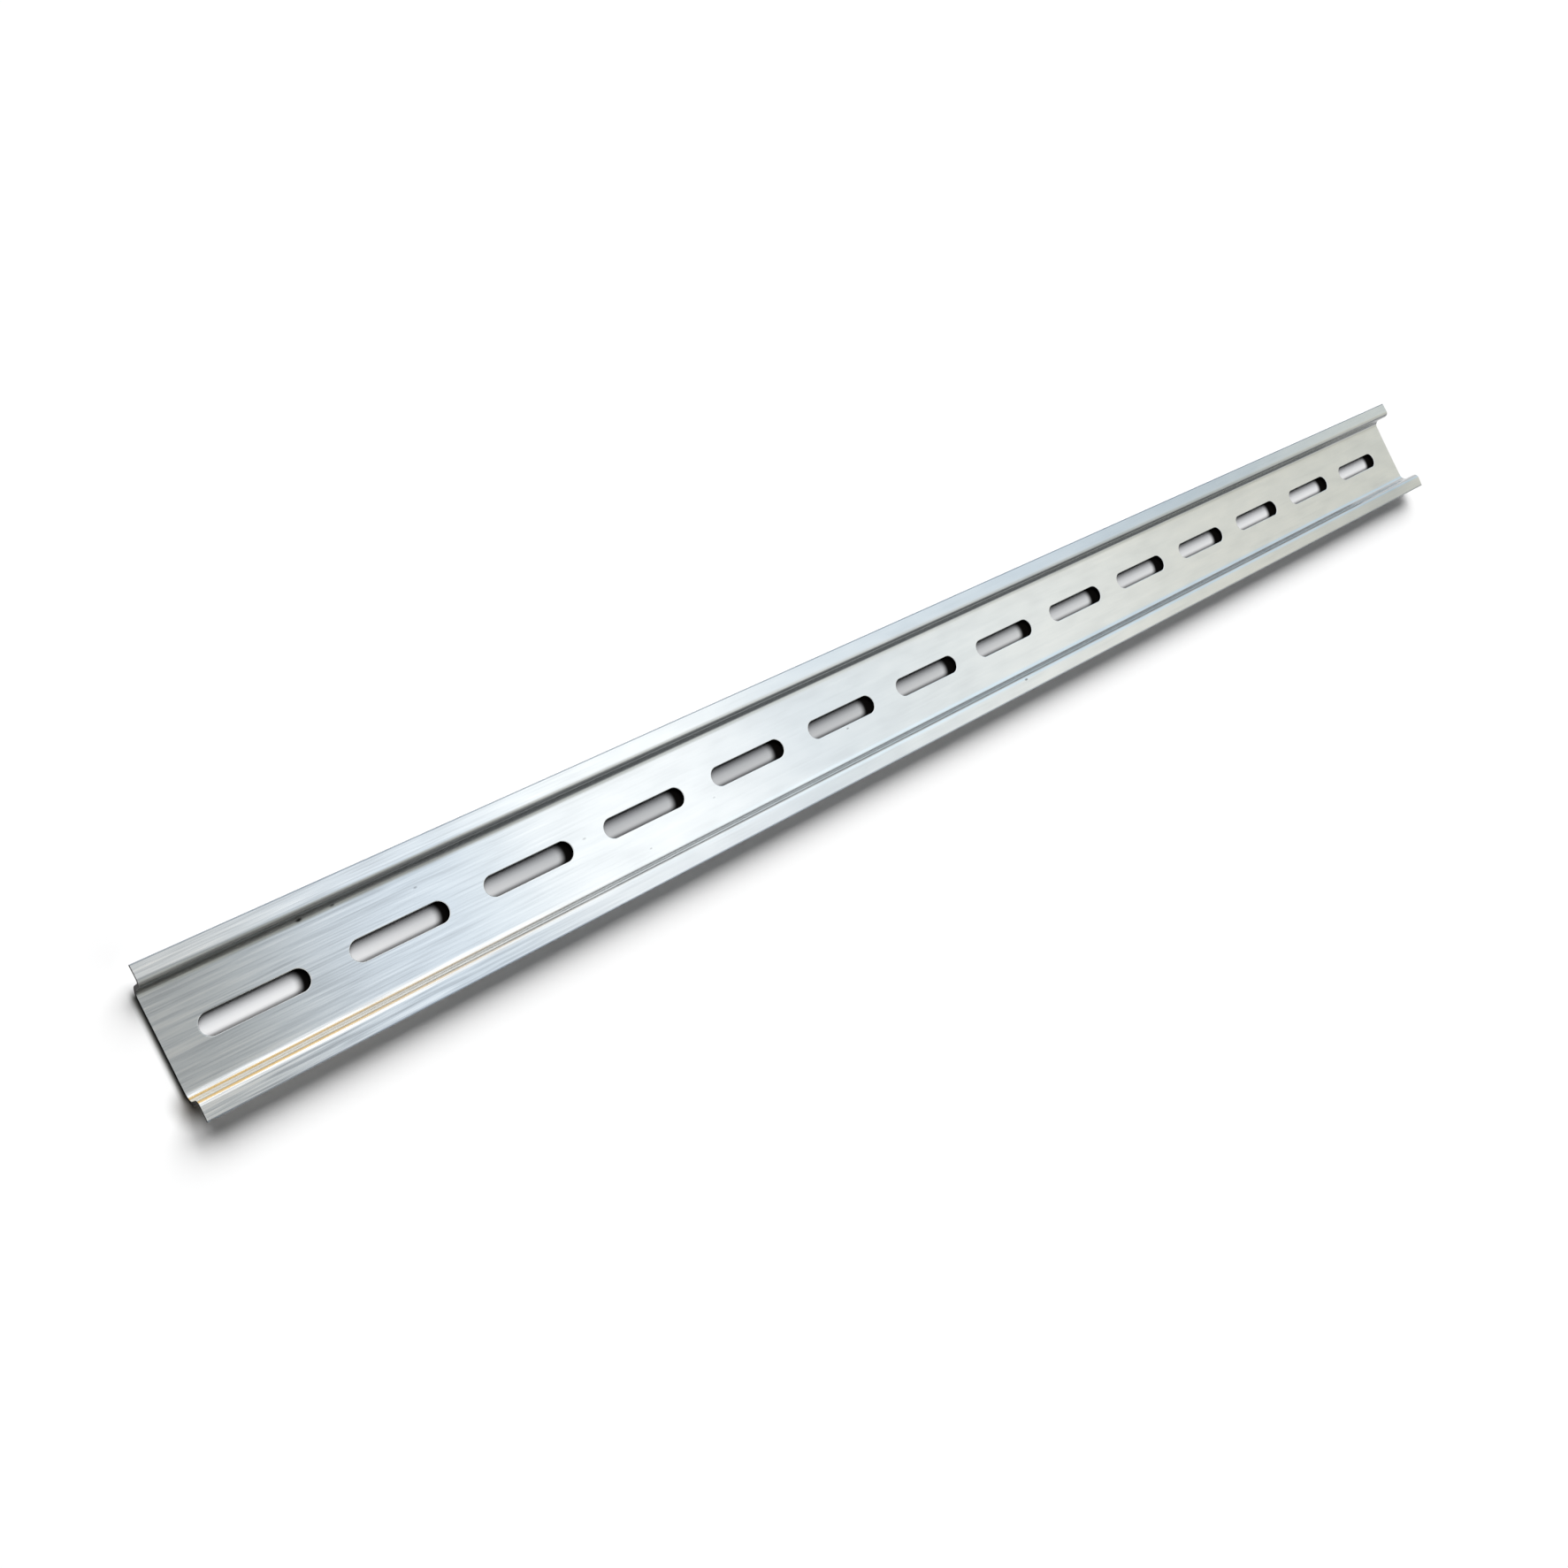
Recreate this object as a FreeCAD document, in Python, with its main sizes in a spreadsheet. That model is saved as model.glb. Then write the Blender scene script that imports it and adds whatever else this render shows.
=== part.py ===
import FreeCAD, Part
import math
import os

import Sketcher

# A slotted top-hat mounting rail: one strip of steel, punched with a row of slots and
# roll-formed into a shallow channel with a flange along each side.
# X runs along the rail, Y across it and Z up. The origin is on the underside of the web,
# halfway along and across the rail. All sizes are in millimetres.

# The driving sizes. The channel, its two walls and the two overhangs make 35 mm of width,
# and a slot and the bridge after it make 35 mm of pitch. Each bend's radius is the one on
# its inside. The margins are the metal between a slot and the end of the rail: as cut
# before the first slot, and at least so much after the last.
SIZES = {
    "rail_length": 500.0,
    "rail_height": 7.5,
    "strip_thickness": 1.0,
    "channel_width": 25.0,
    "flange_overhang": 4.0,
    "web_bend_radius": 2.0,
    "flange_bend_radius": 0.8,
    "edge_rounding": 0.15,
    "slot_length": 25.0,
    "slot_width": 5.2,
    "slot_bridge": 10.0,
    "first_margin": 8.0,
    "least_last_margin": 3.0,
}

# The two bends of a wall share its height, so each may take only a part of it.
WALL_ROOM = "(Sizes.rail_height - 2 * Sizes.strip_thickness)"
WEB_BEND = f"min(Sizes.web_bend_radius; 0.6 * {WALL_ROOM})"
FLANGE_BEND = f"min(Sizes.flange_bend_radius; 0.3 * {WALL_ROOM})"
EDGE_ROUNDING = "min(Sizes.edge_rounding; 0.4 * Sizes.strip_thickness)"

SLOT_PITCH = "Sizes.slot_length + Sizes.slot_bridge"
ROOM_FOR_MORE_SLOTS = (
    "Sizes.rail_length - Sizes.first_margin - Sizes.slot_length - Sizes.least_last_margin"
)
SLOT_COUNT = f"floor(({ROOM_FOR_MORE_SLOTS}) / ({SLOT_PITCH})) + 1"

# The section's levels and half widths.
WEB_TOP = SIZES["strip_thickness"]
FLANGE_TOP = SIZES["rail_height"]
FLANGE_UNDER = FLANGE_TOP - SIZES["strip_thickness"]
WALL_INSIDE = SIZES["channel_width"] / 2
WALL_OUTSIDE = WALL_INSIDE + SIZES["strip_thickness"]
FLANGE_EDGE = WALL_OUTSIDE + SIZES["flange_overhang"]

# The points of a line or arc that a constraint can hold, and the sketch's own geometry.
START, END, CENTRE = 1, 2, 3
X_AXIS, Y_AXIS = -1, -2
ORIGIN = (X_AXIS, START)

SAME_PLACE = 1e-4


def make_sheet(doc):
    """The spreadsheet of driving sizes, each cell with its size's name as its alias."""
    sheet = doc.addObject("Spreadsheet::Sheet", "Sizes")
    for row, (name, size) in enumerate(SIZES.items(), start=1):
        sheet.set(f"A{row}", name)
        sheet.set(f"B{row}", str(size))
        sheet.setAlias(f"B{row}", name)
    doc.recompute()


def origin_feature(body, role):
    """The body's own origin plane or axis that has this role."""
    return next(feature for feature in body.Origin.OriginFeatures if feature.Role == role)


def add_sketch(body, name, plane):
    """An empty sketch on one of the body's origin planes."""
    sketch = body.newObject("Sketcher::SketchObject", name)
    sketch.AttachmentSupport = [(origin_feature(body, plane), "")]
    sketch.MapMode = "FlatFace"
    return sketch


def constrain(sketch, kind, *where):
    """A constraint with no size of its own."""
    sketch.addConstraint(Sketcher.Constraint(kind, *where))


def dimension(sketch, name, kind, where, size, expression):
    """A named dimension, drawn at this size and bound to the sheet."""
    index = sketch.addConstraint(Sketcher.Constraint(kind, *where, size))
    sketch.renameConstraint(index, name)
    sketch.setExpression(f"Constraints.{name}", expression)


def draw_section(sketch):
    """The rail's section with sharp bends, as a closed outline of twelve lines.

    It goes up the outside of the right wall, out and back along the right flange and down
    into the channel, and returns as the mirror image of that half. The lines are upright
    and level by turns.
    """
    right_half = [
        (WALL_OUTSIDE, 0),
        (WALL_OUTSIDE, FLANGE_UNDER),
        (FLANGE_EDGE, FLANGE_UNDER),
        (FLANGE_EDGE, FLANGE_TOP),
        (WALL_INSIDE, FLANGE_TOP),
        (WALL_INSIDE, WEB_TOP),
    ]
    left_half = [(-y, z) for y, z in reversed(right_half)]
    corners = [FreeCAD.Vector(y, z, 0) for y, z in right_half + left_half]
    ends = corners[1:] + corners[:1]
    sketch.addGeometry([Part.LineSegment(*line) for line in zip(corners, ends)])

    wall_outside, flange_under, flange_side, flange_top, wall_inside, web_top = range(6)
    left_flange_top, left_flange_under, web_under = 7, 9, 11
    for line in range(len(corners)):
        following = (line + 1) % len(corners)
        constrain(sketch, "Coincident", line, END, following, START)
        if line != web_top:
            constrain(sketch, "Horizontal" if line % 2 else "Vertical", line)
    constrain(sketch, "Symmetric", web_top, START, web_top, END, Y_AXIS)
    constrain(sketch, "Symmetric", flange_top, START, left_flange_top, END, Y_AXIS)
    constrain(sketch, "Symmetric", flange_under, START, left_flange_under, END, Y_AXIS)
    constrain(sketch, "PointOnObject", web_under, START, X_AXIS)

    thickness = SIZES["strip_thickness"]
    for name, kind, where, size, alias in (
        ("Channel", "DistanceX", (web_top, END, web_top, START), 2 * WALL_INSIDE, "channel_width"),
        ("Wall", "DistanceX", (wall_inside, END, wall_outside, START), thickness, "strip_thickness"),
        ("Web", "DistanceY", (wall_outside, START, wall_inside, END), thickness, "strip_thickness"),
        ("Flange", "DistanceY", (flange_side, START, flange_side, END), thickness, "strip_thickness"),
        ("Height", "DistanceY", (wall_outside, START, flange_side, END), FLANGE_TOP, "rail_height"),
        (
            "Overhang",
            "DistanceX",
            (flange_under, START, flange_under, END),
            SIZES["flange_overhang"],
            "flange_overhang",
        ),
    ):
        dimension(sketch, name, kind, where, size, f"Sizes.{alias}")


def draw_slot(sketch):
    """The first slot, nearest the rail's -X end: two level lines joined by round ends."""
    radius = SIZES["slot_width"] / 2
    left_end = SIZES["first_margin"] - SIZES["rail_length"] / 2
    left = FreeCAD.Vector(left_end + radius, 0, 0)
    right = FreeCAD.Vector(left_end + SIZES["slot_length"] - radius, 0, 0)
    side = FreeCAD.Vector(0, radius, 0)
    up = FreeCAD.Vector(0, 0, 1)
    quarter = math.pi / 2
    sketch.addGeometry(
        [
            Part.LineSegment(left - side, right - side),
            Part.ArcOfCircle(Part.Circle(right, up, radius), -quarter, quarter),
            Part.LineSegment(right + side, left + side),
            Part.ArcOfCircle(Part.Circle(left, up, radius), quarter, 3 * quarter),
        ]
    )
    near_line, right_arc, far_line, left_arc = range(4)
    constrain(sketch, "Tangent", near_line, END, right_arc, START)
    constrain(sketch, "Tangent", right_arc, END, far_line, START)
    constrain(sketch, "Tangent", far_line, END, left_arc, START)
    constrain(sketch, "Tangent", left_arc, END, near_line, START)
    constrain(sketch, "Horizontal", near_line)
    constrain(sketch, "PointOnObject", right_arc, CENTRE, X_AXIS)
    constrain(sketch, "PointOnObject", left_arc, CENTRE, X_AXIS)
    dimension(sketch, "EndRadius", "Radius", (right_arc,), radius, "Sizes.slot_width / 2")
    dimension(
        sketch,
        "BetweenCentres",
        "DistanceX",
        (left_arc, CENTRE, right_arc, CENTRE),
        right.x - left.x,
        "Sizes.slot_length - Sizes.slot_width",
    )
    dimension(
        sketch,
        "FromMiddle",
        "DistanceX",
        (left_arc, CENTRE, *ORIGIN),
        -left.x,
        "Sizes.rail_length / 2 - Sizes.first_margin - Sizes.slot_width / 2",
    )


def long_edges(shape, half_width, level):
    """The names of the two edges that run the length of the rail at this place."""
    names = []
    for number, edge in enumerate(shape.Edges, start=1):
        middle = edge.CenterOfMass
        off_side = abs(abs(middle.y) - half_width)
        off_level = abs(middle.z - level)
        off_length = abs(edge.Length - SIZES["rail_length"])
        if max(off_side, off_level, off_length) < SAME_PLACE:
            names.append(f"Edge{number}")
    return names


def round_edges(doc, body, name, half_width, level, radius):
    """Rounds the pair of long edges at this place, and gives the new feature."""
    base = body.Tip
    fillet = body.newObject("PartDesign::Fillet", name)
    fillet.Base = (base, long_edges(base.Shape, half_width, level))
    fillet.setExpression("Radius", radius)
    doc.recompute()
    return fillet


def make_rail(doc):
    """The rail: the section drawn out to length, its bends, its edges and its slots."""
    body = doc.addObject("PartDesign::Body", "Rail")
    body.Label = "rail"

    section = add_sketch(body, "StripSection", "YZ_Plane")
    draw_section(section)
    strip = body.newObject("PartDesign::Pad", "Strip")
    strip.Profile = section
    strip.SideType = "Symmetric"
    strip.setExpression("Length", "Sizes.rail_length")
    doc.recompute()

    for name, half_width, level, radius in (
        ("WebBendInside", WALL_INSIDE, WEB_TOP, WEB_BEND),
        ("WebBendOutside", WALL_OUTSIDE, 0, f"{WEB_BEND} + Sizes.strip_thickness"),
        ("FlangeBendInside", WALL_OUTSIDE, FLANGE_UNDER, FLANGE_BEND),
        ("FlangeBendOutside", WALL_INSIDE, FLANGE_TOP, f"{FLANGE_BEND} + Sizes.strip_thickness"),
        ("UpperEdges", FLANGE_EDGE, FLANGE_TOP, EDGE_ROUNDING),
        ("LowerEdges", FLANGE_EDGE, FLANGE_UNDER, EDGE_ROUNDING),
    ):
        round_edges(doc, body, name, half_width, level, radius)
    unpunched = body.Shape.Volume

    outline = add_sketch(body, "SlotOutline", "XY_Plane")
    draw_slot(outline)
    punch = body.newObject("PartDesign::Pocket", "FirstSlot")
    punch.Profile = outline
    punch.Type = "ThroughAll"
    punch.SideType = "Symmetric"
    doc.recompute()
    one_slot = unpunched - body.Shape.Volume

    row = body.newObject("PartDesign::LinearPattern", "SlotRow")
    row.Originals = [punch]
    row.Direction = (origin_feature(body, "X_Axis"), [""])
    row.Mode = "Spacing"
    row.setExpression("Offset", SLOT_PITCH)
    row.setExpression("Occurrences", SLOT_COUNT)
    body.Tip = row
    doc.recompute()
    all_slots = unpunched - body.Shape.Volume

    if one_slot <= 0 or abs(all_slots - row.Occurrences * one_slot) > SAME_PLACE * all_slots:
        raise RuntimeError("the slots aren't all cut through the web")
    return body


def check(doc, bodies):
    """Stops with a plain message if any feature or finished shape has failed."""
    for item in doc.Objects:
        if "Invalid" in item.State or "Error" in item.State:
            raise RuntimeError(f"{item.Label} failed: {item.State}")
    for body in bodies:
        if body.Shape.isNull() or not body.Shape.isValid() or len(body.Shape.Solids) != 1:
            raise RuntimeError(f"{body.Label} isn't one valid solid")


doc = FreeCAD.newDocument("mounting_rail")
make_sheet(doc)
rail = make_rail(doc)
check(doc, [rail])

os.makedirs("parts", exist_ok=True)
rail.Shape.exportStep(f"parts/{rail.Label}.step")
print(f"{rail.Label}: {rail.Shape.Volume:.1f} mm3, {len(rail.Shape.Faces)} faces")
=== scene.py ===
import math

import bmesh
import bpy
from mathutils import Matrix, Vector


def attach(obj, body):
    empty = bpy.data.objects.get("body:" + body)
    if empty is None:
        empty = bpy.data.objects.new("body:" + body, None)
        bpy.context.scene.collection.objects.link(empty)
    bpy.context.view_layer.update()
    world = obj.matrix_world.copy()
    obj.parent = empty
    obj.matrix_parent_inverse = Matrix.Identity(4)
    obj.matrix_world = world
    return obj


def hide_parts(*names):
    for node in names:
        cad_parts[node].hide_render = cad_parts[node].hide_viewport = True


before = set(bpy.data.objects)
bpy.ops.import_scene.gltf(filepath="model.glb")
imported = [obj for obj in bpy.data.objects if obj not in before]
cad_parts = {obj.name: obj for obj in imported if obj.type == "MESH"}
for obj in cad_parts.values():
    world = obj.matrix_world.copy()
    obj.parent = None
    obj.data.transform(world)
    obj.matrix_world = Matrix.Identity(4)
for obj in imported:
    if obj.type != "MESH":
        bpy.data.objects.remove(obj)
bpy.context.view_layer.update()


# Slotted mounting rail
# One strip of 1 mm steel, punched with a row of round-ended slots, then rolled into a top-hat
# section: a web, two low walls and two flanges. It is zinc plated bright and cut to 500 mm.

MM = 0.001
LENGTH = 500 * MM
HANDLED_END = -LENGTH / 2
HEIGHT = 7.5 * MM
STRIP = 1.0 * MM
WALL = 12.5 * MM
LIP = 17.5 * MM
WEB_BEND = 2.0 * MM
FLANGE_BEND = 0.8 * MM
SLIT_EDGE = 0.15 * MM
UNDER_FLANGE = HEIGHT - STRIP
FOUND_WITHIN = 1e-6
MERGED_WITHIN = 1e-7


def round_corners(mesh, corners, radius, segments):
    """Rounds the drawn section's corners at these places, on both sides of the rail."""
    places = [Vector((0, side * y, z)) for y, z in corners for side in (1, -1)]
    found = [v for v in mesh.verts if any((v.co - place).length < FOUND_WITHIN for place in places)]
    bmesh.ops.bevel(
        mesh, geom=found, offset=radius, offset_type="OFFSET", segments=segments,
        profile=0.5, affect="VERTICES", material=-1,
    )


# Roll forming leaves the flanges drooping a touch towards their lips, and the web rising a hair
# before it turns up into the walls.
DROOP = 0.20 * MM
RISE = 0.10 * MM
FLAT_WEB = 8.4 * MM

strip = bmesh.new()
crest = HEIGHT + DROOP * (FLANGE_BEND + STRIP) / (LIP - WALL)
upper_side = [(LIP, HEIGHT - DROOP), (WALL, crest), (WALL, STRIP + RISE), (FLAT_WEB, STRIP)]
under_side = [(WALL + STRIP, 0), (WALL + STRIP, UNDER_FLANGE), (LIP, UNDER_FLANGE - DROOP)]
outline = upper_side + [(-y, z) for y, z in reversed(upper_side)]
outline += [(-y, z) for y, z in reversed(under_side)] + under_side
strip.faces.new([strip.verts.new((0, y, z)) for y, z in outline])
round_corners(strip, [(FLAT_WEB, STRIP)], 1.6 * MM, 5)
round_corners(strip, [(WALL, STRIP + RISE)], WEB_BEND, 14)
round_corners(strip, [(WALL + STRIP, 0)], WEB_BEND + STRIP, 14)
round_corners(strip, [(WALL + STRIP, UNDER_FLANGE)], FLANGE_BEND, 8)
round_corners(strip, [(WALL, crest)], FLANGE_BEND + STRIP, 14)
round_corners(strip, [(LIP, HEIGHT - DROOP), (LIP, UNDER_FLANGE - DROOP)], SLIT_EDGE, 3)
bmesh.ops.translate(strip, verts=strip.verts, vec=(HANDLED_END, 0, 0))
drawn = bmesh.ops.extrude_face_region(strip, geom=strip.faces[:])
far_end = [part for part in drawn["geom"] if isinstance(part, bmesh.types.BMVert)]
bmesh.ops.translate(strip, verts=far_end, vec=(LENGTH, 0, 0))
bmesh.ops.recalc_face_normals(strip, faces=strip.faces)

rail_mesh = bpy.data.meshes.new("slotted_rail")
strip.to_mesh(rail_mesh)
strip.free()
rail = bpy.data.objects.new("slotted_rail", rail_mesh)
bpy.context.scene.collection.objects.link(rail)

# The punches are round-ended pegs, flared at the top, so that each slot keeps the softly
# rolled edge that a punch leaves on the side where it goes in.
SLOT_LENGTH = 25 * MM
SLOT_WIDTH = 5.2 * MM
SLOT_PITCH = 35 * MM
SLOT_COUNT = 14
FIRST_SLOT = -229.5 * MM
DIE_ROLL = 0.22 * MM
ROLL_STEPS = 5

pegs = bmesh.new()
half_run = (SLOT_LENGTH - SLOT_WIDTH) / 2
for end in (1, -1):
    start = pegs.verts.new((end * half_run, -end * SLOT_WIDTH / 2, -STRIP))
    bmesh.ops.spin(
        pegs, geom=[start], cent=(end * half_run, 0, 0), axis=(0, 0, 1), angle=math.pi, steps=20,
    )
top = pegs.faces.new(pegs.verts[:])
bmesh.ops.duplicate(pegs, geom=[top])
rings = [(2 * STRIP - DIE_ROLL, 0)]
for step in range(ROLL_STEPS):
    low, high = (math.pi / 2 * turn / ROLL_STEPS for turn in (step, step + 1))
    rise = DIE_ROLL * (math.sin(high) - math.sin(low))
    rings.append((rise, DIE_ROLL * (math.cos(low) - math.cos(high))))
rings.append((STRIP, 0))
for rise, flare in rings:
    bmesh.ops.inset_individual(
        pegs, faces=[top], thickness=-flare, depth=rise, use_even_offset=True,
    )
bmesh.ops.remove_doubles(pegs, verts=pegs.verts, dist=MERGED_WITHIN)
bmesh.ops.recalc_face_normals(pegs, faces=pegs.faces)
bmesh.ops.translate(pegs, verts=pegs.verts, vec=(FIRST_SLOT, 0, 0))
first_peg = pegs.verts[:] + pegs.edges[:] + pegs.faces[:]
for number in range(1, SLOT_COUNT):
    copied = bmesh.ops.duplicate(pegs, geom=first_peg)
    moved = [part for part in copied["geom"] if isinstance(part, bmesh.types.BMVert)]
    bmesh.ops.translate(pegs, verts=moved, vec=(number * SLOT_PITCH, 0, 0))

# Knocks have left a small notch in the near flange's lip just in from the corner, and two
# shallower ones further along. Their cutters are tall enough to go right through the lip.
KNOCK_HEIGHT = 3 * MM

for along, wide, deep in ((-248.9, 1.1, 0.42), (-145.3, 1.0, 0.26), (-134.8, 1.2, 0.28)):
    wedge = Matrix.Translation((along * MM, -LIP, HEIGHT - STRIP / 2))
    wedge = wedge @ Matrix.Diagonal((wide * MM, deep * MM, KNOCK_HEIGHT, 1))
    bmesh.ops.create_cube(pegs, size=1, matrix=wedge @ Matrix.Rotation(math.pi / 4, 4, "Z"))

peg_mesh = bpy.data.meshes.new("punches")
pegs.to_mesh(peg_mesh)
pegs.free()
punches = bpy.data.objects.new("punches", peg_mesh)
bpy.context.scene.collection.objects.link(punches)

punching = rail.modifiers.new("punching", "BOOLEAN")
punching.operation = "DIFFERENCE"
punching.solver = "EXACT"
punching.object = punches
seen = bpy.context.evaluated_depsgraph_get()
rail.data = bpy.data.meshes.new_from_object(rail.evaluated_get(seen))
rail.modifiers.clear()
rail.data.name = "slotted_rail"
bpy.data.meshes.remove(rail_mesh)
bpy.data.objects.remove(punches)

# The saw and the file leave a narrow bevel all round both ends. The slots' walls and the cut ends
# take the second material, sheared steel painted nearly black, partly as painted shade.
FILED = 0.1 * MM

cut = bmesh.new()
cut.from_mesh(rail.data)
bmesh.ops.remove_doubles(cut, verts=cut.verts, dist=MERGED_WITHIN)
ends = [
    edge for edge in cut.edges
    if all(abs(abs(v.co.x) - LENGTH / 2) < FOUND_WITHIN for v in edge.verts)
]
bmesh.ops.bevel(
    cut, geom=ends, offset=FILED, offset_type="OFFSET", segments=2, profile=0.5,
    affect="EDGES", clamp_overlap=True, material=-1,
)
for face in cut.faces:
    face.smooth = True
    in_row = abs(face.calc_center_median().y) < SLOT_WIDTH / 2 + 0.01 * MM
    slot_wall = in_row and abs(face.normal.z) < 0.6
    face.material_index = 1 if slot_wall or abs(face.normal.x) > 0.99 else 0
cut.to_mesh(rail.data)
cut.free()
rail.data.set_sharp_from_angle(angle=math.radians(50))
keep_flats = rail.modifiers.new("keep_flats", "WEIGHTED_NORMAL")
keep_flats.mode = "FACE_AREA"
keep_flats.weight = 100
keep_flats.keep_sharp = True

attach(rail, "root")
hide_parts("rail")


def colour(hex_code):
    """A screen colour such as "#D9DCDD" as the linear numbers that a shader takes."""
    parts = [int(hex_code[i:i + 2], 16) / 255 for i in (1, 3, 5)]
    return [c / 12.92 if c <= 0.04045 else ((c + 0.055) / 1.055) ** 2.4 for c in parts] + [1]


def add(tree, kind, settings=None, **inputs):
    """Adds a node: settings are its own options, inputs are numbers, colours or other sockets."""
    made = tree.nodes.new("ShaderNode" + kind)
    for name, value in (settings or {}).items():
        if name == "stops":
            while len(made.color_ramp.elements) < len(value):
                made.color_ramp.elements.new(1)
            for stop, (place, tone) in zip(made.color_ramp.elements, value):
                stop.position, stop.color = place, colour(tone)
        else:
            setattr(made, name, value)
    for name, value in inputs.items():
        socket = made.inputs[int(name[1:]) if name[1:].isdigit() else name.replace("_", " ")]
        if isinstance(value, bpy.types.NodeSocket):
            tree.links.new(value, socket)
        else:
            socket.default_value = value
    return made


# Settings that many nodes below share: a range that eases in and out, and a mix of two colours.
SOFT_ENDS = {"interpolation_type": "SMOOTHSTEP"}
OF_COLOURS = {"data_type": "RGBA"}

# Bright zinc plate on cold-rolled steel: a pale blue-grey metal, half dull, with the fine lines
# of the rolling mill along its length and faint cloudiness from the bath. The lines scatter
# light across the rail far more than along it.
bright_zinc = bpy.data.materials.new("bright_zinc_plate")
bright_zinc.use_nodes = True
tree = bright_zinc.node_tree
surface = tree.nodes["Principled BSDF"]
place = add(tree, "TexCoord").outputs["Object"]
axis = add(tree, "SeparateXYZ", Vector=place).outputs

# Mill lines 0.4 mm apart and 12 mm long, drawn marks 0.8 mm wide and 40 mm long, and clouds of
# 4 by 12 mm. The lines are plainest at the handled end and fade along the first 130 mm.
lines = []
for scale in ((80, 2500, 2500), (25, 1200, 1200), (80, 250, 250)):
    lines.append(add(tree, "TexNoise", Vector=add(
        tree, "Mapping", Vector=place, Scale=scale).outputs[0],
        Scale=1, Detail=1.5, Roughness=0.5).outputs[0])
mill, drawn, cloud = lines
rubbed = add(tree, "Math", {"operation": "ADD"}, _0=mill, _1=drawn).outputs[0]
rubbed = add(tree, "Math", {"operation": "SUBTRACT"}, _0=rubbed, _1=1.0).outputs[0]
handled = add(tree, "MapRange", SOFT_ENDS, Value=axis["X"],
              From_Min=HANDLED_END, From_Max=-120 * MM, To_Min=0.85, To_Max=0.05).outputs[0]
near_lip = add(tree, "MapRange", SOFT_ENDS, Value=axis["Y"],
               From_Min=-13.8 * MM, From_Max=-13.0 * MM, To_Min=1.7, To_Max=1.0).outputs[0]
handled = add(tree, "Math", {"operation": "MULTIPLY"}, _0=handled, _1=near_lip).outputs[0]
rubbed = add(tree, "Math", {"operation": "MULTIPLY_ADD"}, _0=rubbed, _1=handled, _2=0.4).outputs[0]
finish = add(tree, "Math", {"operation": "MULTIPLY_ADD"}, _0=cloud, _1=0.2, _2=rubbed).outputs[0]
tone = add(tree, "ValToRGB", {"stops": [
    (0.2, "#BEC0C2"), (0.5, "#DDDFE0"), (0.8, "#F5F4F2"),
]}, Fac=finish).outputs[0]

# The web is duller than the flanges at the handled end. The far flange is tinted bluer along its
# middle and the near one greyer towards both ends. Both lips have a grey line just in from the
# slit edge.
out = add(tree, "Math", {"operation": "ABSOLUTE"}, _0=axis["Y"]).outputs[0]
on_flange = add(tree, "MapRange", SOFT_ENDS, Value=out,
                From_Min=13.1 * MM, From_Max=13.8 * MM).outputs[0]
on_web = add(tree, "MapRange", SOFT_ENDS, Value=out,
             From_Min=10.0 * MM, From_Max=11.5 * MM, To_Min=1.0, To_Max=0.0).outputs[0]
dim_web_end = add(tree, "MapRange", SOFT_ENDS, Value=axis["X"],
           From_Min=-240 * MM, From_Max=-195 * MM, To_Min=1.0, To_Max=0.0).outputs[0]
dim_web_end = add(tree, "Math", {"operation": "MULTIPLY"}, _0=dim_web_end, _1=on_web).outputs[0]
tone = add(tree, "Mix", {"data_type": "RGBA", "blend_type": "MULTIPLY"}, Factor=dim_web_end, _6=tone,
           _7=colour("#E6E7E7")).outputs[2]
far_side = add(tree, "Math", {"operation": "GREATER_THAN"}, _0=axis["Y"], _1=0.0).outputs[0]
near_side = add(tree, "Math", {"operation": "LESS_THAN"}, _0=axis["Y"], _1=0.0).outputs[0]
down_rail = add(tree, "MapRange", Value=axis["X"], From_Min=HANDLED_END,
                From_Max=LENGTH / 2).outputs[0]
for side, tint_colour, stops in (
    (far_side, "#659ED0", [
        (0.32, "#000000"), (0.56, "#808080"), (0.72, "#8E8E8E"), (0.80, "#858585"),
        (0.88, "#626262"), (0.96, "#404040"),
    ]),
    (near_side, "#8E9AA8", [
        (0.09, "#000000"), (0.16, "#7C7C7C"), (0.30, "#707070"), (0.42, "#000000"),
        (0.80, "#303030"), (0.90, "#7C7C7C"), (0.96, "#9A9A9A"), (1.00, "#404040"),
    ]),
):
    flange_tint = add(tree, "ValToRGB", {"stops": stops}, Fac=down_rail).outputs[0]
    flange_tint = add(tree, "Math", {"operation": "MULTIPLY"}, _0=flange_tint, _1=on_flange).outputs[0]
    flange_tint = add(tree, "Math", {"operation": "MULTIPLY"}, _0=flange_tint, _1=side).outputs[0]
    tone = add(tree, "Mix", OF_COLOURS, Factor=flange_tint, _6=tone,
               _7=colour(tint_colour)).outputs[2]
slit = add(tree, "MapRange", SOFT_ENDS, Value=out,
           From_Min=17.1 * MM, From_Max=17.3 * MM, To_Min=0.0, To_Max=0.7).outputs[0]
tone = add(tree, "Mix", OF_COLOURS, Factor=slit, _6=tone,
           _7=colour("#6A7885")).outputs[2]

# Painted shade darkens the two bends: a slate tone all along the far wall, and a fainter one on
# the near wall that deepens away from the handled end. There a pale painted highlight covers it
# instead, with a yellow line of painted warm reflection on each side.
BEND_LINE = 12.45 * MM
WARM_LINE_OFFSET = 0.62 * MM

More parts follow.
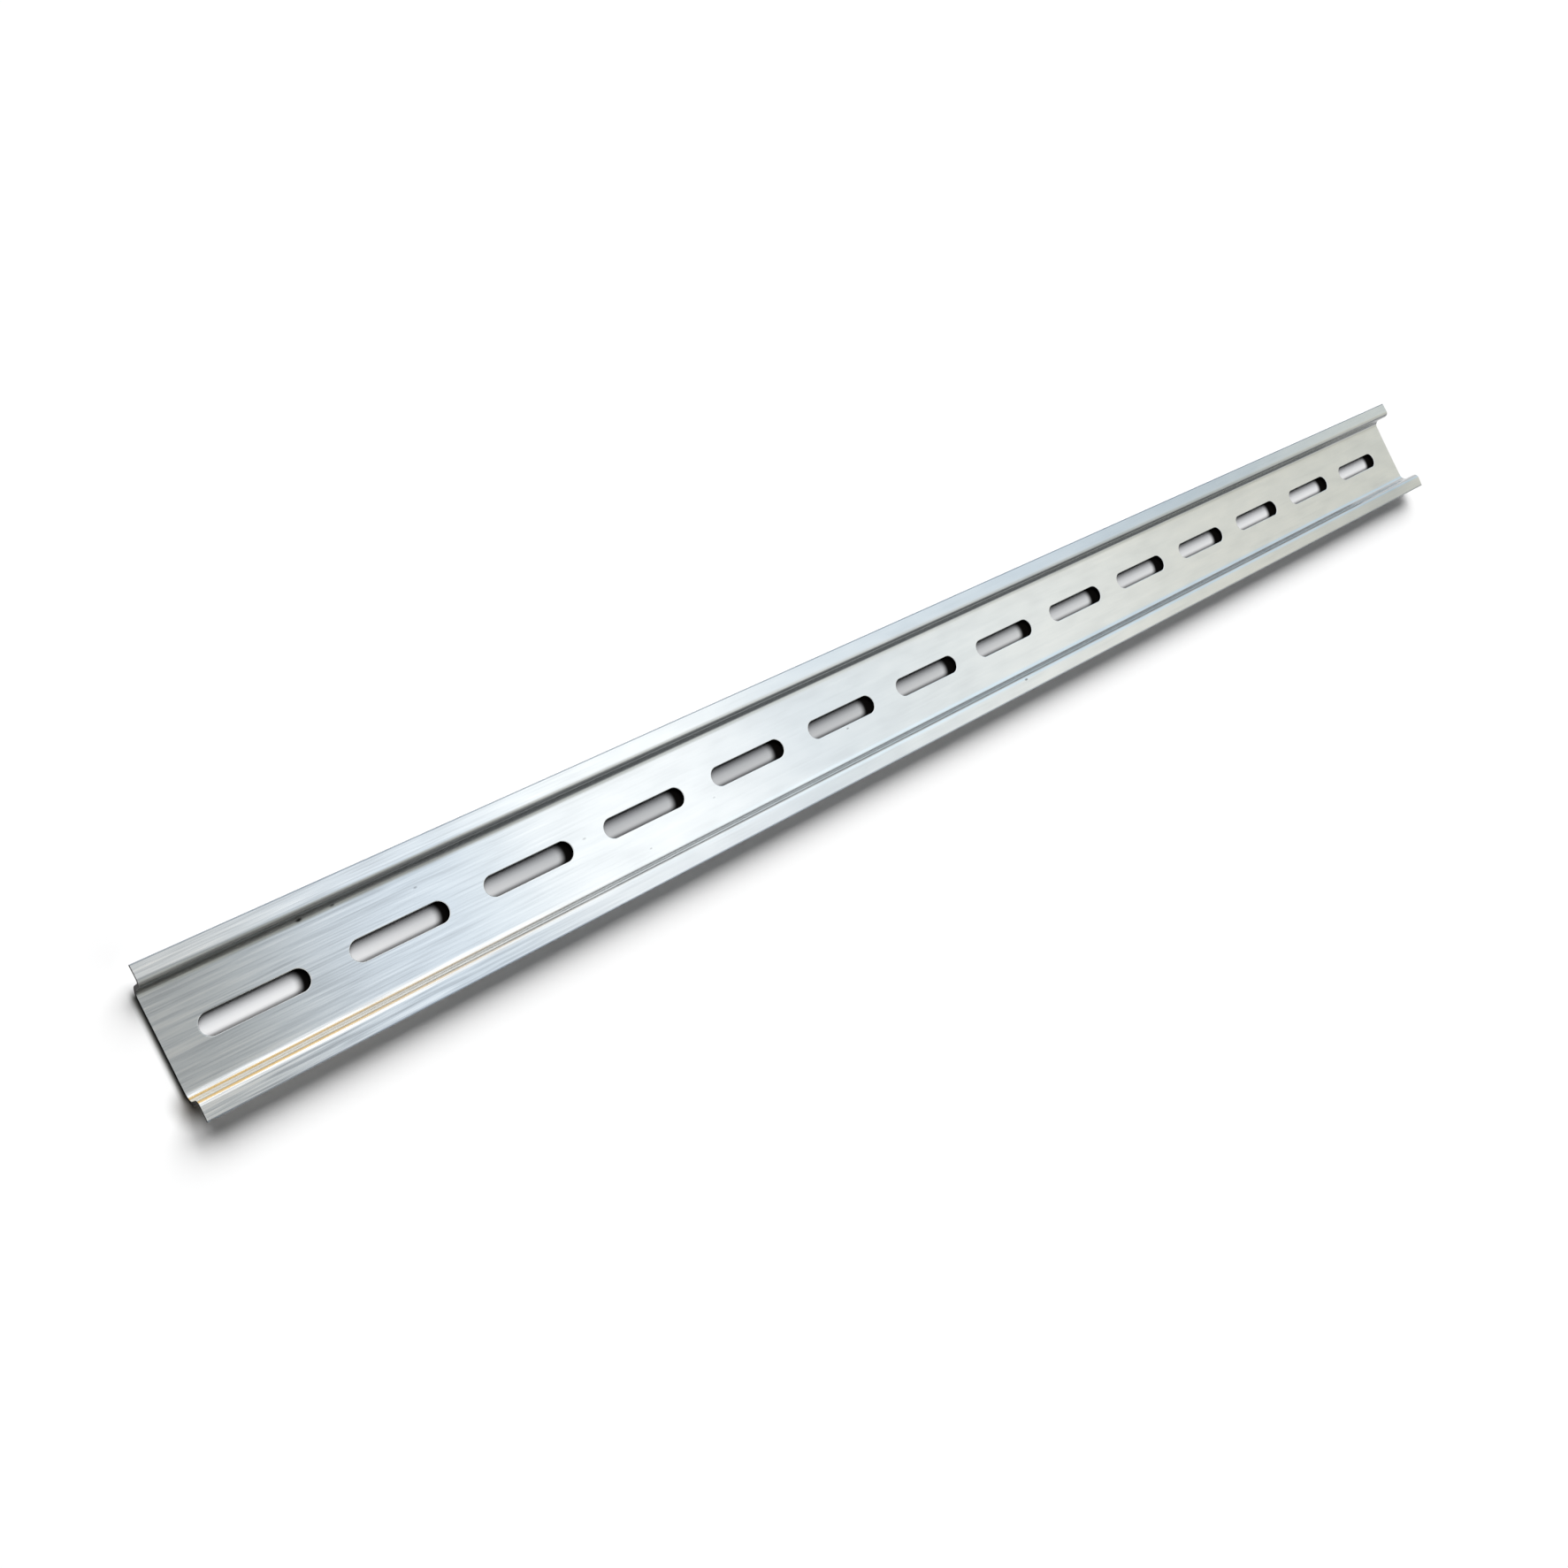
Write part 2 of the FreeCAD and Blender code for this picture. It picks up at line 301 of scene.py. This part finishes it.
from_wall = add(tree, "Math", {"operation": "SUBTRACT"}, _0=out, _1=BEND_LINE).outputs[0]
from_wall = add(tree, "Math", {"operation": "ABSOLUTE"}, _0=from_wall).outputs[0]
in_bend = add(tree, "MapRange", SOFT_ENDS, Value=from_wall,
              From_Min=0.55 * MM, From_Max=1.05 * MM, To_Min=1.0, To_Max=0.0).outputs[0]
near_bend_shade = add(tree, "MapRange", Value=axis["X"], From_Min=-200 * MM, From_Max=60 * MM,
                To_Min=0.0, To_Max=0.32).outputs[0]
# The painted bend shade: strong on the far wall, fainter on the near one.
painted_bend_shade = add(tree, "Mix", Factor=far_side, _2=near_bend_shade, _3=0.78).outputs[0]
painted_bend_shade = add(tree, "Math", {"operation": "MULTIPLY"}, _0=painted_bend_shade, _1=in_bend).outputs[0]
tone = add(tree, "Mix", OF_COLOURS, Factor=painted_bend_shade, _6=tone,
           _7=colour("#20262A")).outputs[2]
painted_light_reach = add(tree, "MapRange", SOFT_ENDS, Value=axis["X"],
           From_Min=-245 * MM, From_Max=-135 * MM, To_Min=1.0, To_Max=0.0).outputs[0]
painted_light_reach = add(tree, "Math", {"operation": "MULTIPLY"}, _0=painted_light_reach, _1=near_side).outputs[0]
# A pale painted highlight in the near bend at the handled end.
painted_highlight = add(tree, "MapRange", SOFT_ENDS, Value=from_wall,
            From_Min=0.20 * MM, From_Max=0.50 * MM, To_Min=0.55, To_Max=0.0).outputs[0]
painted_highlight = add(tree, "Math", {"operation": "MULTIPLY"}, _0=painted_highlight, _1=painted_light_reach).outputs[0]
tone = add(tree, "Mix", OF_COLOURS, Factor=painted_highlight, _6=tone,
           _7=colour("#D2CEBE")).outputs[2]
# Yellow lines of painted warm reflection on each side of that highlight.
painted_warm_lines = add(tree, "Math", {"operation": "SUBTRACT"}, _0=from_wall, _1=WARM_LINE_OFFSET).outputs[0]
painted_warm_lines = add(tree, "Math", {"operation": "ABSOLUTE"}, _0=painted_warm_lines).outputs[0]
painted_warm_lines = add(tree, "MapRange", SOFT_ENDS, Value=painted_warm_lines,
             From_Min=0.12 * MM, From_Max=0.38 * MM, To_Min=0.85, To_Max=0.0).outputs[0]
painted_warm_lines = add(tree, "Math", {"operation": "MULTIPLY"}, _0=painted_warm_lines, _1=painted_light_reach).outputs[0]
tone = add(tree, "Mix", OF_COLOURS, Factor=painted_warm_lines, _6=tone,
           _7=colour("#D2AE64")).outputs[2]
painted_light_share = add(tree, "Math", {"operation": "MULTIPLY_ADD"}, _0=painted_warm_lines, _1=0.6, _2=painted_highlight).outputs[0]

# A few small dark marks, each twice as long as it is wide: two scuffs on the far wall, specks of
# soot on the web and one on the near flange. The numbers are where a mark lies along and across,
# its half width and how dark it is.
spread = add(tree, "VectorMath", {"operation": "MULTIPLY"}, _0=place, _1=(0.5, 1, 0)).outputs[0]
for along, across, half, depth in (
    (-214.0, 11.7, 0.55, 0.95), (-206.0, 11.6, 0.4, 0.7), (-187.0, 7.4, 0.35, 0.4),
    (-143.0, 0.7, 0.4, 0.25), (-127.5, -8.7, 0.3, 0.25), (-104.0, -4.3, 0.3, 0.2),
    (-54.5, -3.6, 0.35, 0.4), (9.5, -14.0, 0.45, 0.6),
):
    reach = add(tree, "VectorMath", {"operation": "DISTANCE"}, _0=spread,
                _1=(along * MM / 2, across * MM, 0)).outputs["Value"]
    mark = add(tree, "MapRange", SOFT_ENDS, Value=reach,
               From_Min=0.2 * half * MM, From_Max=half * MM, To_Min=depth, To_Max=0.0).outputs[0]
    tone = add(tree, "Mix", OF_COLOURS, Factor=mark, _6=tone,
               _7=colour("#0E0F10")).outputs[2]
tree.links.new(tone, surface.inputs["Base Color"])
# The painted highlight and yellow lines are partly not metal, so that the lamps light them.
bare = add(tree, "Math", {"operation": "SUBTRACT", "use_clamp": True}, _0=1.0,
           _1=painted_light_share).outputs[0]
tree.links.new(bare, surface.inputs["Metallic"])
surface.inputs["Anisotropic"].default_value = 0.83
surface.inputs["Anisotropic Rotation"].default_value = 0.25
grain = add(tree, "CombineXYZ", X=1.0, Y=0.0, Z=0.0).outputs[0]
tree.links.new(grain, surface.inputs["Tangent"])
dullness = add(tree, "MapRange", Value=finish, From_Min=0.2, From_Max=0.8, To_Min=0.23,
               To_Max=0.17)
tree.links.new(dullness.outputs[0], surface.inputs["Roughness"])
relief = add(tree, "Bump", Strength=1.0, Distance=0.0012 * MM, Height=finish)
tree.links.new(relief.outputs[0], surface.inputs["Normal"])
rail.data.materials.append(bright_zinc)

# Bare sheared steel at the slots' walls and the cut ends: rough and without zinc, and painted
# nearly black, which is partly painted shade.
shaded_sheared_steel = bpy.data.materials.new("shaded_sheared_steel")
shaded_sheared_steel.use_nodes = True
tree = shaded_sheared_steel.node_tree
surface = tree.nodes["Principled BSDF"]
place = add(tree, "TexCoord").outputs["Object"]
tears = add(tree, "TexNoise", Vector=add(
    tree, "Mapping", Vector=place, Scale=(2500, 2500, 500)).outputs[0],
    Scale=1, Detail=2).outputs[0]
# Near-black, partly as painted shade of the slots and the ends.
tone = add(tree, "ValToRGB", {"stops": [(0.3, "#080706"), (0.7, "#24211D")]}, Fac=tears).outputs[0]
tree.links.new(tone, surface.inputs["Base Color"])
surface.inputs["Metallic"].default_value = 1
surface.inputs["Roughness"].default_value = 0.55
relief = add(tree, "Bump", Strength=1.0, Distance=0.01 * MM, Height=tears)
tree.links.new(relief.outputs[0], surface.inputs["Normal"])
rail.data.materials.append(shaded_sheared_steel)


# Floor
# A sheet of matt white paper that lies flat under the rail and takes its shadow. It is 40 m wide,
# so that it fills the picture and runs on to the studio's pale backdrop from every side.

FLOOR_SIDE = 40.0
PAPER = "#F3F3F3"

sweep = bmesh.new()
bmesh.ops.create_grid(sweep, x_segments=8, y_segments=8, size=FLOOR_SIDE / 2)
floor_mesh = bpy.data.meshes.new("white_sweep")
sweep.to_mesh(floor_mesh)
sweep.free()
floor = bpy.data.objects.new("white_sweep", floor_mesh)
bpy.context.scene.collection.objects.link(floor)

white_paper = bpy.data.materials.new("white_paper")
white_paper.use_nodes = True
tree = white_paper.node_tree
surface = tree.nodes["Principled BSDF"]
place = add(tree, "TexCoord").outputs["Object"]
axis = add(tree, "SeparateXYZ", Vector=place).outputs

# Two lamps stand for a whole soft room, so the close shade that such a room leaves is drawn on
# the paper. Each slot is darker towards its far side and along its near edge, the slots between
# the ends of the rail are darker than those at its ends, and a crescent at each slot's right end
# is nearly black and widens along the rail from 3 to 5 mm.
across = add(tree, "MapRange", Value=axis["Y"], From_Min=-SLOT_WIDTH / 2,
             From_Max=SLOT_WIDTH / 2).outputs[0]
slot_paper = add(tree, "ValToRGB", {"stops": [
    (0.00, "#6E6E6E"), (0.08, "#9C9C9D"), (0.15, "#CFD0D1"), (0.24, "#E3E3E4"),
    (0.35, "#DFE0E1"), (0.50, "#D4D5D7"), (0.65, "#B9BABC"), (0.73, "#A6A7A9"),
    (0.81, "#929395"), (1.00, "#88898B"),
]}, Fac=across).outputs[0]
inner_slots = add(tree, "ValToRGB", {"stops": [
    (0.05, "#FFFFFF"), (0.20, "#D0D1D2"), (0.36, "#CDCECF"), (0.55, "#DCDDDD"), (0.82, "#F5F5F5"),
]}, Fac=add(tree, "MapRange", Value=axis["X"], From_Min=HANDLED_END,
            From_Max=LENGTH / 2).outputs[0]).outputs[0]
slot_paper = add(tree, "Mix", {"data_type": "RGBA", "blend_type": "MULTIPLY"}, Factor=1.0,
                 _6=slot_paper, _7=inner_slots).outputs[2]
middle = add(tree, "Math", {"operation": "SUBTRACT"}, _0=axis["X"], _1=FIRST_SLOT).outputs[0]
middle = add(tree, "Math", {"operation": "WRAP"}, _0=middle, _1=SLOT_PITCH / 2,
             _2=-SLOT_PITCH / 2).outputs[0]
crescent = add(tree, "MapRange", Value=axis["X"], From_Min=-230 * MM, From_Max=60 * MM,
               To_Min=3.1 * MM - half_run, To_Max=5.3 * MM - half_run).outputs[0]
past = add(tree, "Math", {"operation": "ADD"}, _0=middle, _1=crescent).outputs[0]
rounded = add(tree, "CombineXYZ", X=add(
    tree, "Math", {"operation": "MAXIMUM"}, _0=past, _1=0.0).outputs[0], Y=axis["Y"]).outputs[0]
rounded = add(tree, "VectorMath", {"operation": "LENGTH"}, _0=rounded).outputs["Value"]
dark = add(tree, "MapRange", SOFT_ENDS, Value=rounded,
           From_Min=2.1 * MM, From_Max=4.5 * MM).outputs[0]
at_end = add(tree, "MapRange", SOFT_ENDS, Value=past,
             From_Min=0.0, From_Max=1.6 * MM).outputs[0]
dark = add(tree, "Math", {"operation": "MULTIPLY"}, _0=dark, _1=at_end).outputs[0]
slot_paper = add(tree, "Mix", OF_COLOURS, Factor=dark, _6=slot_paper,
                 _7=colour("#0A0908")).outputs[2]

# A painted contact shadow 1 mm wide lies on the paper beside the handled end, under the web only,
# and a soft brown painted shade under the near flange's corner.
end_contact_shadow = add(tree, "ValToRGB", {"stops": [
    (0.0, "#40403E"), (0.2, "#6E6E6C"), (0.4, "#A2A2A0"), (0.65, "#D8D8D8"), (1.0, PAPER),
]}, Fac=add(tree, "MapRange", Value=axis["X"], From_Min=HANDLED_END,
            From_Max=-251.6 * MM).outputs[0]).outputs[0]
out = add(tree, "Math", {"operation": "ABSOLUTE"}, _0=axis["Y"]).outputs[0]
under_web = add(tree, "MapRange", SOFT_ENDS, Value=out,
                From_Min=11.0 * MM, From_Max=13.5 * MM, To_Min=1.0, To_Max=0.0).outputs[0]
past_end = add(tree, "Math", {"operation": "LESS_THAN"}, _0=axis["X"], _1=-249.5 * MM).outputs[0]
under_web = add(tree, "Math", {"operation": "MULTIPLY"}, _0=under_web, _1=past_end).outputs[0]
paper = add(tree, "Mix", OF_COLOURS, Factor=under_web, _6=colour(PAPER),
            _7=end_contact_shadow).outputs[2]
corner = add(tree, "VectorMath", {"operation": "DISTANCE"}, _0=place,
             _1=(-249.5 * MM, -13.5 * MM, 0)).outputs["Value"]
corner = add(tree, "MapRange", SOFT_ENDS, Value=corner,
             From_Min=0.0, From_Max=6.0 * MM, To_Min=0.85, To_Max=0.0).outputs[0]
paper = add(tree, "Mix", OF_COLOURS, Factor=corner, _6=paper,
            _7=colour("#3A3022")).outputs[2]
in_row, in_length = (
    add(tree, "Math", {"operation": "COMPARE"}, _0=axis[name], _1=0.0, _2=limit).outputs[0]
    for name, limit in (("Y", 2.8 * MM), ("X", 249 * MM))
)
in_row = add(tree, "Math", {"operation": "MULTIPLY"}, _0=in_row, _1=in_length).outputs[0]
paper = add(tree, "Mix", OF_COLOURS, Factor=in_row, _6=paper,
            _7=slot_paper).outputs[2]
tree.links.new(paper, surface.inputs["Base Color"])
surface.inputs["Roughness"].default_value = 0.9
surface.inputs["Specular IOR Level"].default_value = 0.0
floor.data.materials.append(white_paper)


# Light
# A plain studio: pale walls and a soft panel ahead of the rail, tall windows over a wooden bench
# along its far side and the unlit room on its near side. The metal mirrors the studio, and two
# broad soft lamps by the windows light the paper and throw the shadow, with a faint fill.

world = bpy.data.worlds.new("studio")
world.use_nodes = True
bpy.context.scene.world = world
tree = world.node_tree
air = tree.nodes["Background"]
air.inputs["Strength"].default_value = 1.42
direction = add(tree, "TexCoord").outputs["Generated"]
axes = add(tree, "SeparateXYZ", Vector=direction).outputs
climb = add(tree, "Math", {"operation": "ARCTAN2"}, _0=axes["Z"], _1=axes["X"]).outputs[0]
ahead = add(tree, "ValToRGB", {"stops": [(degrees / 180, tone) for degrees, tone in (
    (0, "#BAB8AD"), (30.6, "#C6C5BB"), (34, "#CFCDC3"), (37, "#D0CFC6"), (42, "#E4E4DF"),
    (50, "#DADFE1"), (53, "#D6DDE2"), (55.5, "#FAFCFD"), (62.5, "#FAFDFE"), (65.5, "#D0DCE6"),
    (69, "#CDD8E3"), (72, "#C0C8CF"), (75, "#AEB0AF"), (83, "#9C9C9B"), (100, "#B8BABC"),
    (130, "#CED0D1"), (180, "#D6D7D6"),
)]}, Fac=add(tree, "Math", {"operation": "DIVIDE"}, _0=climb, _1=math.pi).outputs[0]).outputs[0]
windows = add(tree, "ValToRGB", {"stops": [
    (0.40, "#FCFDFD"), (0.55, "#F6FBFD"), (0.68, "#DAE9F1"), (0.79, "#BDCEDA"), (0.88, "#B6C9D4"),
]}, Fac=axes["X"]).outputs[0]
bench = add(tree, "ValToRGB", {"stops": [
    (0.10, "#D6D7D6"), (0.26, "#D8CDB8"), (0.42, "#C4B79E"), (0.50, "#A9A9A2"),
    (0.60, "#94999D"), (0.80, "#8797A5"),
]}, Fac=axes["X"]).outputs[0]
room = add(tree, "ValToRGB", {"stops": [
    (0.05, "#D6D7D6"), (0.24, "#8A8C86"), (0.42, "#90918C"), (0.50, "#BEC0BC"), (0.60, "#CBCECB"),
    (0.70, "#C6C8C4"), (0.80, "#ADAEA4"), (0.88, "#A8A79C"),
]}, Fac=axes["X"]).outputs[0]
skirting = add(tree, "ValToRGB", {"stops": [
    (0.05, "#D6D7D6"), (0.24, "#2E2618"), (0.60, "#3C3A36"), (0.80, "#48483F"),
]}, Fac=axes["X"]).outputs[0]
around = add(tree, "Math", {"operation": "ARCTAN2"}, _0=axes["Y"], _1=axes["Z"]).outputs[0]

# The numbers are degrees from straight up: a side's wall sets in between the first two, and what
# stands below the wall between the last two.
seen_tone = ahead
for side, wall_tone, low_tone, turns in (
    (1, windows, bench, (4, 30, 66, 80)), (-1, room, skirting, (6, 45, 58, 72)),
):
    turned = add(tree, "Math", {"operation": "MULTIPLY"}, _0=around,
                 _1=side * 180 / math.pi).outputs[0]
    aside, low = (add(tree, "MapRange", SOFT_ENDS, Value=turned,
                      From_Min=turns[n], From_Max=turns[n + 1]).outputs[0] for n in (0, 2))
    side_tone = add(tree, "Mix", OF_COLOURS, Factor=low, _6=wall_tone,
                    _7=low_tone).outputs[2]
    seen_tone = add(tree, "Mix", OF_COLOURS, Factor=aside, _6=seen_tone,
                    _7=side_tone).outputs[2]

# A pale backdrop runs all round the studio, up to 12 degrees above the paper, and fades out by 20.
backdrop = add(tree, "MapRange", SOFT_ENDS, Value=axes["Z"],
               From_Min=0.20, From_Max=0.34, To_Min=1.0, To_Max=0.0).outputs[0]
seen_tone = add(tree, "Mix", OF_COLOURS, Factor=backdrop, _6=seen_tone,
                _7=colour("#CDCECE")).outputs[2]
tree.links.new(seen_tone, air.inputs["Color"])
world.cycles_visibility.diffuse = False

for name, toward, spread, energy in (
    ("end_lamp", (0.7, 0.88, 1.0), 42, 2.55), ("side_lamp", (0.0, 0.88, 1.0), 42, 2.1),
    ("fill_lamp", (0.5, -0.65, 0.5), 50, 0.62),
):
    lamp = bpy.data.lights.new(name, "SUN")
    lamp.angle = math.radians(spread)
    lamp.energy = energy
    hung = bpy.data.objects.new(name, lamp)
    hung.rotation_euler = Vector(toward).to_track_quat("Z", "Y").to_euler()
    hung.visible_glossy = False
    bpy.context.scene.collection.objects.link(hung)


# Camera
# Close over the rail's near end, low enough that the far end shrinks to half the width. The
# picture is square and holds the whole rail.

lens = bpy.data.cameras.new("view")
lens.lens = 35.68
lens.sensor_width = 36
lens.clip_start = 0.01
camera = bpy.data.objects.new("view", lens)
camera.location = (-323.865 * MM, -2.962 * MM, 334.184 * MM)
camera.rotation_euler = [math.radians(turn) for turn in (17.0399, -32.1541, -31.4432)]
bpy.context.scene.collection.objects.link(camera)
bpy.context.scene.camera = camera
bpy.context.scene.view_settings.view_transform = "Standard"
